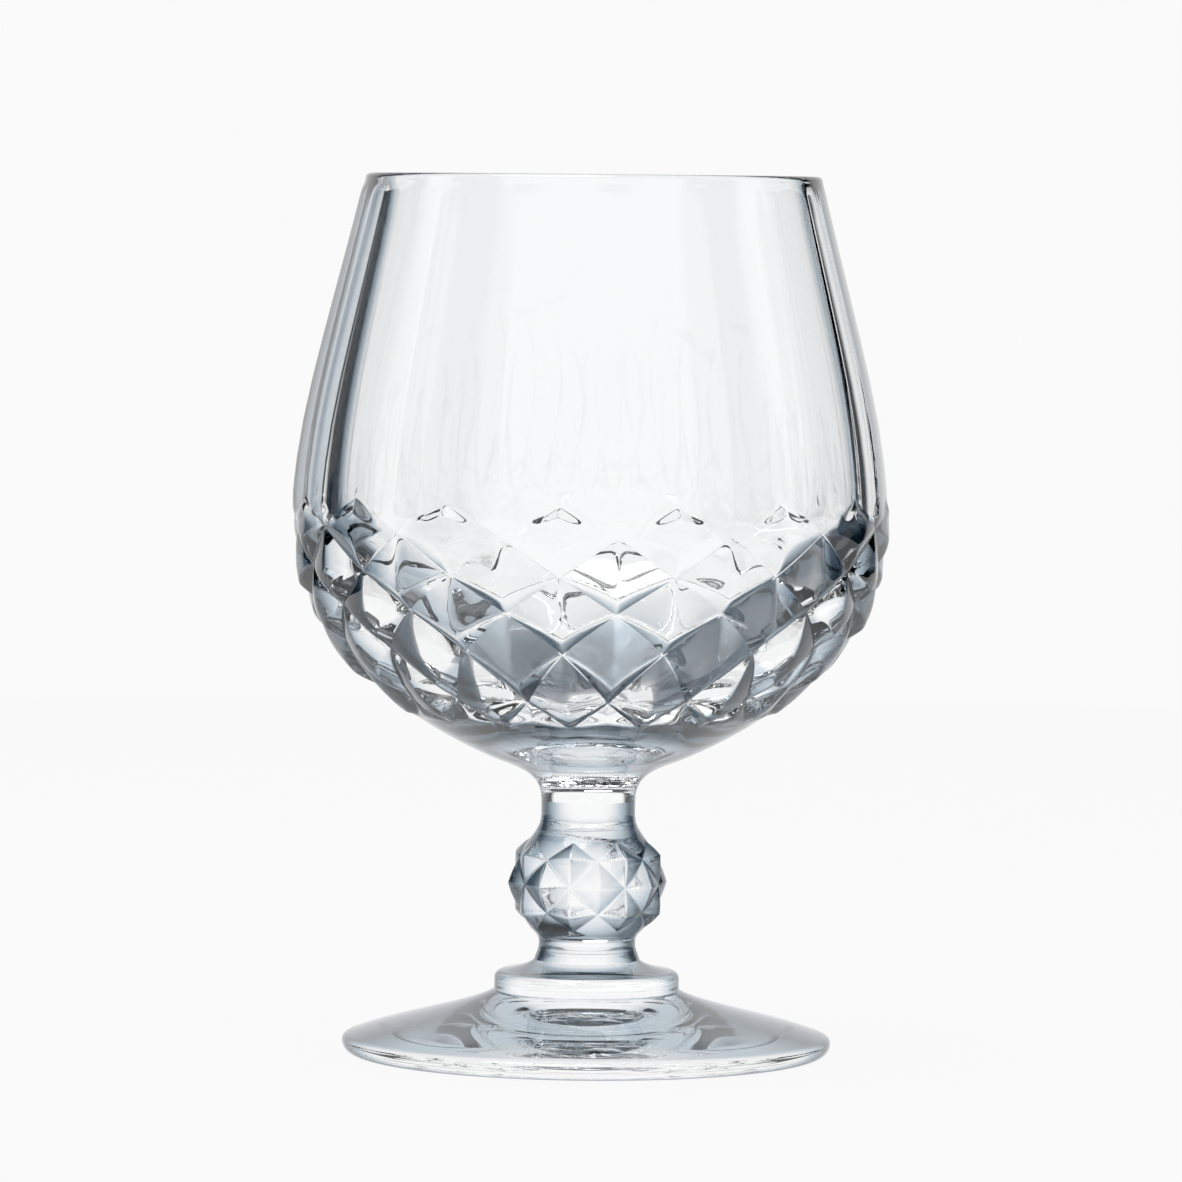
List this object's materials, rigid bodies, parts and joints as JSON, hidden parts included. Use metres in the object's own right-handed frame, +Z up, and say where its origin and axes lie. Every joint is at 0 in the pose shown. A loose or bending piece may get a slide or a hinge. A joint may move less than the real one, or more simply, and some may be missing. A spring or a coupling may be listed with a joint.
{
  "type": "brandy snifter",
  "caption": "Clear glass brandy snifter: fluted tapering bowl with a band of diamond facets, short stem with a faceted knop, stepped collar and flared round foot.",
  "frame": {"origin": "on the table, under the middle of the foot", "axes": "+Z up along the glass's axis of rotation; the pictured front faces -Y and +X is to the viewer's right"},
  "size_m": [0.088, 0.088, 0.13],
  "materials": {
    "clear_glass": "polished"
  },
  "bodies": {
    "root": {"foot": "clear_glass", "collar": "clear_glass", "stem": "clear_glass", "bowl": "clear_glass"}
  },
  "joints": []
}
